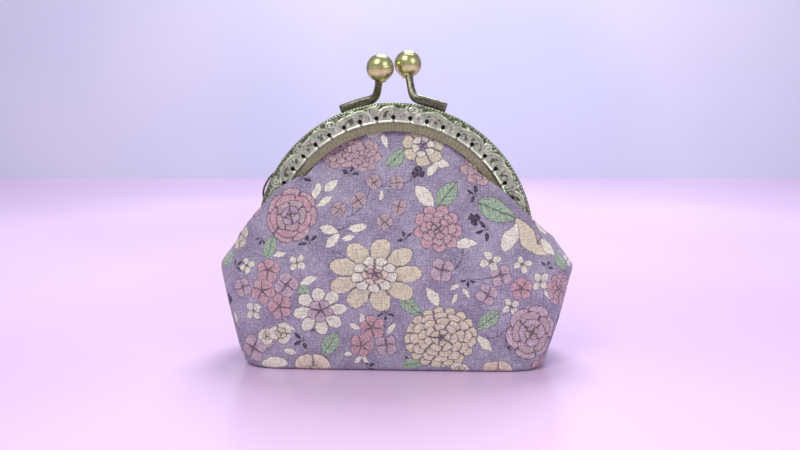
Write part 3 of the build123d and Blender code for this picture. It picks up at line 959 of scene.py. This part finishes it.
def nearest_motif(nodes, cloth, places):
    """The cloth about the nearest place, turned and scaled so that the motif has a size of 1."""
    nearest = None
    for along, up, size, turn in places:
        low = (along - repeat_along / 2, up - repeat_up / 2, 0)
        high = (along + repeat_along / 2, up + repeat_up / 2, 0)
        wrapped = nodes.vector("WRAP", cloth, high, low)
        shift = (-along / size, -up / size, -math.radians(turn) * tiny_turn)
        local = nodes.vector("MULTIPLY_ADD", wrapped, (1 / size, 1 / size, 0), shift)
        distance = nodes.vector("LENGTH", local)
        if nearest is None:
            nearest, nearest_distance = local, distance
        else:
            closer = nodes.math("LESS_THAN", distance, nearest_distance)
            nearest = nodes.pick(closer, nearest, local)
            nearest_distance = nodes.math("MINIMUM", distance, nearest_distance)
    carried = nodes.add("SeparateXYZ", {0: nearest}).outputs[2]
    angle = nodes.math("DIVIDE", carried, tiny_turn)
    inputs = {"Vector": nearest, "Angle": angle}
    turned_place = nodes.add("VectorRotate", inputs, rotation_type="Z_AXIS").outputs[0]
    return nodes.vector("MULTIPLY", turned_place, (1, 1, 0)), nearest_distance


def flower(nodes, local, distance, rings, line=0.05, stretch=1.0, slim=0.5):
    """Rings of petals, the outermost first: (radius, petals, notch, turn, colour) for each."""
    if stretch != 1.0:
        local = nodes.vector("MULTIPLY", local, (1 / stretch, 1, 0))
        distance = nodes.vector("LENGTH", local)
    x, y, _ = nodes.add("SeparateXYZ", {0: local}).outputs
    angle = nodes.math("ARCTAN2", y, x)
    cover = None
    for radius, petals, notch, turn, colour in rings:
        phase = nodes.math("MULTIPLY_ADD", angle, petals / 2, turn)
        swing = nodes.math("ABSOLUTE", nodes.math("COSINE", phase))
        rounded = nodes.math("POWER", swing, slim)
        edge = nodes.math("MULTIPLY_ADD", rounded, radius * notch, radius * (1 - notch))
        depth = nodes.math("SUBTRACT", edge, distance)
        between = nodes.math("MULTIPLY", nodes.math("MULTIPLY", swing, distance), 2 / petals)
        inked = nodes.step(nodes.math("MINIMUM", depth, between), line * 0.35, line, 0.85, 0.0)
        base = nodes.mix(nodes.step(depth, 0.0, radius * 0.6, 0.0, 0.17), colour, outline_colour)
        petal = nodes.mix(inked, base, outline_colour)
        inside = nodes.step(depth, -0.02, 0.02)
        if cover is None:
            cover, drawn = inside, petal
        else:
            drawn = nodes.mix(inside, drawn, petal)
    return drawn, cover


def leaf(nodes, local, distance, colour, width, vein=None, saw=0.0, line=0.06):
    """A pointed leaf along its own X, with veins and a sawn edge where they are asked for."""
    x, y, _ = nodes.add("SeparateXYZ", {0: local}).outputs
    off_axis = nodes.math("ABSOLUTE", y)
    taper = nodes.math("SUBTRACT", 1.0, nodes.math("MULTIPLY", x, x))
    edge = nodes.math("MULTIPLY", nodes.math("MULTIPLY_ADD", x, -0.18, 1.0), taper)
    slant = nodes.math("MULTIPLY_ADD", off_axis, -0.9, x)
    teeth = nodes.math("SINE", nodes.math("MULTIPLY", slant, 21.0))
    if saw:
        edge = nodes.math("MULTIPLY_ADD", teeth, saw, edge)
    depth = nodes.math("SUBTRACT", nodes.math("MULTIPLY", edge, width), off_axis)
    drawn = nodes.mix(nodes.step(depth, line * 0.4, line, 0.85, 0.0), colour, outline_colour)
    if vein is not None:
        ribs = nodes.math("MAXIMUM", nodes.step(teeth, 0.8, 1.0, 0.0, 0.75),
                          nodes.step(off_axis, 0.015, 0.06, 0.95, 0.0))
        drawn = nodes.mix(ribs, drawn, vein)
    near = nodes.step(distance, 1.02, 1.06, 1.0, 0.0)
    return drawn, nodes.math("MULTIPLY", nodes.step(depth, -0.015, 0.02), near)


def sprig(nodes, local, distance, colour, count, width):
    """Small dark leaves that spread from a point: those of a star that look forward."""
    x, y, _ = nodes.add("SeparateXYZ", {0: local}).outputs
    angle = nodes.math("ARCTAN2", y, x)
    offset = nodes.math("WRAP", angle, math.pi / count, -math.pi / count)
    side = nodes.math("ABSOLUTE", nodes.math("MULTIPLY", nodes.math("SINE", offset), distance))
    ahead = nodes.math("MULTIPLY", nodes.math("COSINE", offset), distance)
    from_middle = nodes.math("ABSOLUTE", nodes.math("SUBTRACT", ahead, 0.58))
    across = nodes.math("POWER", nodes.math("DIVIDE", side, width), 1.4)
    lengthwise = nodes.math("POWER", nodes.math("DIVIDE", from_middle, 0.41), 1.8)
    leaves = nodes.step(nodes.math("ADD", across, lengthwise), 0.85, 1.05, 1.0, 0.0)
    near = nodes.step(distance, 0.9, 1.0, 1.0, 0.0)
    stalk = nodes.math("MULTIPLY", nodes.step(side, 0.02, 0.05, 0.8, 0.0), near)
    forward = nodes.step(x, -0.25, -0.15)
    return colour, nodes.math("MULTIPLY", nodes.math("MAXIMUM", leaves, stalk), forward)


def stem(nodes, local, distance, colour):
    """A thin bent stem with twigs that lean forward on both sides."""
    x, y, _ = nodes.add("SeparateXYZ", {0: local}).outputs
    bend = nodes.math("MULTIPLY", nodes.math("MULTIPLY", x, x), 0.4)
    off_line = nodes.math("ABSOLUTE", nodes.math("SUBTRACT", y, bend))
    line = nodes.step(off_line, 0.012, 0.034, 0.8, 0.0)
    slant = nodes.math("MULTIPLY_ADD", off_line, -1.1, x)
    twigs = nodes.step(nodes.math("SINE", nodes.math("MULTIPLY", slant, 11.0)), 0.965, 1.0, 0.0, 0.8)
    twigs = nodes.math("MULTIPLY", twigs, nodes.step(off_line, 0.26, 0.3, 1.0, 0.0))
    near = nodes.step(distance, 0.95, 1.0, 1.0, 0.0)
    return colour, nodes.math("MULTIPLY", nodes.math("MAXIMUM", line, twigs), near)


daisy_rings = (
    (1.0, 9, 0.42, 0.2, cream), (0.5, 9, 0.2, 1.2, white), (0.27, 6, 0.15, 0.0, peach),
    (0.17, 5, 0.15, 0.5, rose_pink),
)
peony_rings = (
    (1.0, 17, 0.13, 0.0, cream), (0.84, 12, 0.13, 0.9, peach), (0.66, 9, 0.15, 0.3, cream),
    (0.47, 7, 0.18, 1.1, peach), (0.28, 5, 0.2, 0.5, cream), (0.1, 5, 0.1, 0.0, rose_pink),
)
rose_rings = (
    (1.0, 7, 0.12, 0.4, rose_pink), (0.82, 5, 0.14, 1.3, rose_red), (0.6, 5, 0.13, 0.2, dusty_pink),
    (0.36, 4, 0.15, 0.9, mauve), (0.16, 3, 0.15, 0.1, dusty_pink),
)
mauve_rings = (
    (1.0, 6, 0.13, 0.9, mauve), (0.78, 5, 0.15, 0.1, dusty_pink), (0.52, 4, 0.15, 1.0, mauve),
    (0.28, 4, 0.18, 0.3, dusty_pink),
)
cream_top_rings = (
    (1.0, 7, 0.28, 0.5, cream), (0.56, 6, 0.25, 0.1, white), (0.24, 4, 0.2, 0.7, lilac),
)
white_star_rings = ((1.0, 8, 0.42, 0.3, white), (0.5, 5, 0.3, 0.9, mauve))
white_four_rings = ((1.0, 4, 0.74, 0.0, white), (0.2, 3, 0.1, 0.0, dusty_pink))
red_four_rings = ((1.0, 5, 0.4, 0.0, rose_red), (0.16, 3, 0.1, 0.0, dusty_pink))
lilac_four_rings = ((1.0, 4, 0.46, 0.0, mauve), (0.18, 3, 0.1, 0.0, rose_pink))
peach_rings = ((1.0, 5, 0.22, 0.9, peach), (0.45, 5, 0.2, 0.2, cream))
bud_rings = ((1.0, 4, 0.12, 0.4, dusty_pink),)
white_bud_rings = ((1.0, 3, 0.3, 0.6, white), (0.5, 3, 0.25, 0.0, cream))
clover_rings = ((1.0, 3, 0.6, 0.0, plum),)
hydrangea_rings = (
    (1.0, 9, 0.3, 0.4, rose_red), (0.74, 8, 0.26, 0.1, rose_pink), (0.48, 6, 0.24, 0.9, rose_red),
    (0.24, 4, 0.2, 0.3, dusty_pink),
)
pale_hydrangea_rings = (
    (1.0, 8, 0.3, 0.1, rose_pink), (0.72, 7, 0.26, 0.8, dusty_pink), (0.45, 5, 0.22, 0.3, rose_pink),
    (0.2, 3, 0.2, 0.3, dusty_pink),
)

# painted in this order, so that later motifs lie over earlier ones
print_motifs = (
    (stem, {"colour": outline_colour}, stem_places),
    (sprig, {"colour": plum, "count": 5, "width": 0.18}, sprig_places),
    (flower, {"rings": clover_rings, "line": 0.01}, clover_places),
    (flower, {"rings": bud_rings, "line": 0.09}, bud_places),
    (flower, {"rings": pale_hydrangea_rings, "line": 0.06, "stretch": 1.1}, pale_cluster_places),
    (leaf, {"colour": leaf_green, "width": 0.56, "vein": leaf_dark, "saw": 0.05}, green_leaf_places),
    (leaf, {"colour": cream, "width": 0.45}, cream_leaf_places),
    (leaf, {"colour": white, "width": 0.46}, white_leaf_places),
    (leaf, {"colour": white, "width": 0.42, "line": 0.09}, tiny_leaf_places),
    (flower, {"rings": lilac_four_rings, "line": 0.09}, lilac_four_places),
    (flower, {"rings": red_four_rings, "line": 0.08}, red_four_places),
    (flower, {"rings": white_bud_rings, "line": 0.09}, white_bud_places),
    (flower, {"rings": white_four_rings, "line": 0.08, "slim": 0.95}, white_four_places),
    (flower, {"rings": peach_rings, "line": 0.06}, peach_half_places),
    (flower, {"rings": hydrangea_rings, "line": 0.055}, cluster_places),
    (flower, {"rings": rose_rings, "line": 0.055}, rose_places),
    (flower, {"rings": mauve_rings, "line": 0.055}, mauve_rose_places),
    (flower, {"rings": white_star_rings, "line": 0.05, "stretch": 1.12, "slim": 0.7}, white_star_places),
    (flower, {"rings": cream_top_rings, "line": 0.055}, cream_top_places),
    (flower, {"rings": peony_rings, "line": 0.04, "stretch": 1.18}, peony_places),
    (flower, {"rings": daisy_rings, "line": 0.034, "stretch": 1.28, "slim": 0.62}, daisy_places),
)


def motif_group(draw, facts, places):
    """One kind of motif at all of its places, as a node group."""
    group = Group(draw.__name__)
    local, distance = nearest_motif(group, group.place, places)
    return group.finish(*draw(group, local, distance, **facts))


def printed_material():
    """Cotton canvas printed with flowers on violet, its threads showing through the ink, with painted shade
    between the weave's crossings and painted highlights on them and on pale specks.
    """
    nodes = Nodes("printed_cotton")
    cloth = cloth_place(nodes)
    threads, over, height = weave(nodes, cloth, canvas_pitch)
    inputs = {"Vector": cloth, "Scale": 0.3, "Detail": 3.0, "Roughness": 0.62}
    wander = nodes.vector("SUBTRACT", nodes.add("TexNoise", inputs).outputs["Color"], (0.5, 0.5, 0.5))
    drawn_on = nodes.vector("MULTIPLY_ADD", wander, (1.9, 1.9, 0), cloth)
    clouds = nodes.noise(cloth, 0.09, detail=3.0)
    colour = nodes.mix(nodes.step(clouds, 0.35, 0.65), violet, violet_dark)
    for draw, facts, places in print_motifs:
        motif = nodes.add("Group", node_tree=motif_group(draw, facts, places))
        nodes.put(motif.inputs["Place"], drawn_on)
        colour = nodes.mix(motif.outputs["Cover"], colour, motif.outputs["Colour"])
    # the thread tone is the cloth's own; the lift and the near-white on the weave's raised crossings are
    # painted highlight, and the darkening between them is painted shade
    share = nodes.math("MULTIPLY_ADD", over, 0.25, nodes.step(threads, 0.36, 0.64))
    colour = nodes.mix(nodes.step(share, 0.0, 1.1, 1.0, 0.0), colour, thread_shade, blend="MULTIPLY")
    colour = nodes.mix(nodes.step(share, 0.7, 1.3, 0.0, 0.2), colour, white)
    # the pale specks are painted highlights on raised threads; the darker specks are the threads' own tone
    specks = nodes.noise(cloth, 2.8, detail=1.5)
    colour = nodes.mix(nodes.step(specks, 0.52, 0.66, 0.0, 0.17), colour, white)
    colour = nodes.mix(nodes.step(specks, 0.36, 0.5, 1.0, 0.0), colour, speck_shade, blend="MULTIPLY")
    nodes.shade(Base_Color=colour, Roughness=0.85, Sheen_Weight=0.12)
    nodes.bump(height, 0.55, 0.13 * MM)
    return nodes.material


# ---- pieces on their bodies ----
printed_cotton = printed_material()
fleece_cloth = plain_cloth_material("fleece", srgb(205, 202, 200), srgb(236, 234, 232),
                                    pitch=0.9, roughness=0.95, fuzz=0.4)
lining_cloth = plain_cloth_material("lining_cotton", srgb(196, 184, 204), srgb(224, 214, 228),
                                    pitch=0.36, roughness=0.85, fuzz=0.1)
# the near-white third colour is the rubbed metal plus painted glints on the embossed face
embossed_brass = brass_material("embossed_brass", srgb(104, 108, 87), srgb(190, 200, 173),
                                srgb(251, 255, 233), uses_relief=True)
plain_brass = brass_material("plain_brass", srgb(60, 58, 48), srgb(98, 96, 80),
                             srgb(172, 171, 152), uses_relief=False)
ball_brass = polished_material("ball_brass")
dark_thread = thread_material()

layer_materials = {"outer": printed_cotton, "fleece": fleece_cloth, "lining": lining_cloth}


def on_body(piece, body, slot, *nodes):
    """A stiff piece rides on its body and stands for these CAD nodes, where it has any."""
    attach(piece, body)
    if nodes:
        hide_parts(*nodes)


for side in ("front", "back"):
    back = side == "back"
    body = f"{side}_frame"
    for layer, material in layer_materials.items():
        piece = cloth_piece(f"{side}_{layer}", layer, back, [material])
        nodes_in_cad = [f"{layer}_{side}_wall", f"{layer}_{side}_upper"]
        if not back:
            nodes_in_cad.append(f"{layer}_base")
        if layer == "outer":
            nodes_in_cad.append(f"{side}_fold_band")
        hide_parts(*nodes_in_cad)
        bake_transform(piece)
    channel = frame_piece(f"{side}_channel", back, [embossed_brass])
    on_body(channel, body, "antique_brass", f"{side}_frame_half")
    on_body(ears_piece(f"{side}_ears", back, [plain_brass]), body, "antique_brass")
    on_body(arm_piece(f"{side}_arm", back, [plain_brass]), body, "antique_brass", f"{side}_clasp_arm")
    on_body(ball_piece(f"{side}_ball", back, [ball_brass]), body, "polished_brass", f"{side}_clasp_ball")
    on_body(stitch_piece(f"{side}_stitches", back, [dark_thread]), body, "thread", f"{side}_stitching")
on_body(loop_piece("strap_wire", [plain_brass]), "back_frame", "antique_brass", "strap_loop")

for node in ("right_hinge_rivet", "left_hinge_rivet"):
    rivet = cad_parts[node]
    rivet.data.materials.clear()
    rivet.data.materials.append(plain_brass)


# ---- stage, light and camera ----
def stage_material(name, first, second, roughness):
    """A matt paint of two near colours in soft clouds."""
    nodes = Nodes(name)
    place = nodes.add("TexCoord").outputs["Object"]
    clouds = nodes.noise(place, 3.0, detail=1.5)
    nodes.shade(Base_Color=nodes.mix(nodes.step(clouds, 0.35, 0.65), first, second), Roughness=roughness)
    return nodes.material


def stage_plane(name, corners, material):
    mesh = bpy.data.meshes.new(name)
    mesh.from_pydata(corners, [], [(0, 1, 2, 3)])
    mesh.materials.append(material)
    plane = bpy.data.objects.new(name, mesh)
    bpy.context.scene.collection.objects.link(plane)


wall_y = 0.67
stage_half = 3.0
stage_plane("floor", [(-stage_half, -stage_half, 0), (stage_half, -stage_half, 0),
                      (stage_half, wall_y, 0), (-stage_half, wall_y, 0)],
            stage_material("floor_paint", srgb(216, 184, 224), srgb(230, 200, 237), 0.24))
stage_plane("backdrop", [(-stage_half, wall_y, 0), (stage_half, wall_y, 0),
                         (stage_half, wall_y, 2.0), (-stage_half, wall_y, 2.0)],
            stage_material("backdrop_paint", srgb(214, 220, 244), srgb(228, 229, 249), 0.7))


def area_light(name, place, aim, size, power, colour):
    data = bpy.data.lights.new(name, "AREA")
    data.shape = "DISK"
    data.size = size
    data.energy = power
    data.color = colour
    light = bpy.data.objects.new(name, data)
    light.location = place
    light.rotation_mode = "QUATERNION"
    light.rotation_quaternion = (Vector(aim) - Vector(place)).to_track_quat("-Z", "Y")
    bpy.context.scene.collection.objects.link(light)


area_light("key", (-0.3, -0.5, 0.75), (0, 0, 0.04), 0.5, 3.0, (1.0, 1.0, 0.94))
area_light("fill", (0.6, -0.5, 0.45), (0, 0, 0.04), 0.5, 1.5, (0.98, 1.0, 0.98))
area_light("top", (0.05, 0.42, 0.7), (0, 0, 0.04), 0.4, 5.0, (1.0, 1.0, 0.97))

world = bpy.data.worlds.new("studio")
world.use_nodes = True
world.node_tree.nodes["Background"].inputs["Color"].default_value = srgb(232, 234, 240)
world.node_tree.nodes["Background"].inputs["Strength"].default_value = 0.56
bpy.context.scene.world = world
bpy.context.scene.view_settings.view_transform = "Standard"

camera_azimuth = math.radians(3.3)
camera_elevation = math.radians(8.08)
camera_roll = math.radians(-0.27)
camera_distance = 0.2498
camera_target = Vector((0.00156, 0, 0.0408))
camera_back = Vector((math.sin(camera_azimuth) * math.cos(camera_elevation),
                      -math.cos(camera_azimuth) * math.cos(camera_elevation), math.sin(camera_elevation)))
camera_data = bpy.data.cameras.new("camera")
camera_data.sensor_width = 36
camera_data.lens = 36
camera_data.clip_start = 0.01
camera = bpy.data.objects.new("camera", camera_data)
camera.location = camera_target + camera_back * camera_distance
camera.rotation_mode = "QUATERNION"
aim = (-camera_back).to_track_quat("-Z", "Y")
camera.rotation_quaternion = aim @ Quaternion((0, 0, 1), camera_roll)
bpy.context.scene.collection.objects.link(camera)
bpy.context.scene.camera = camera
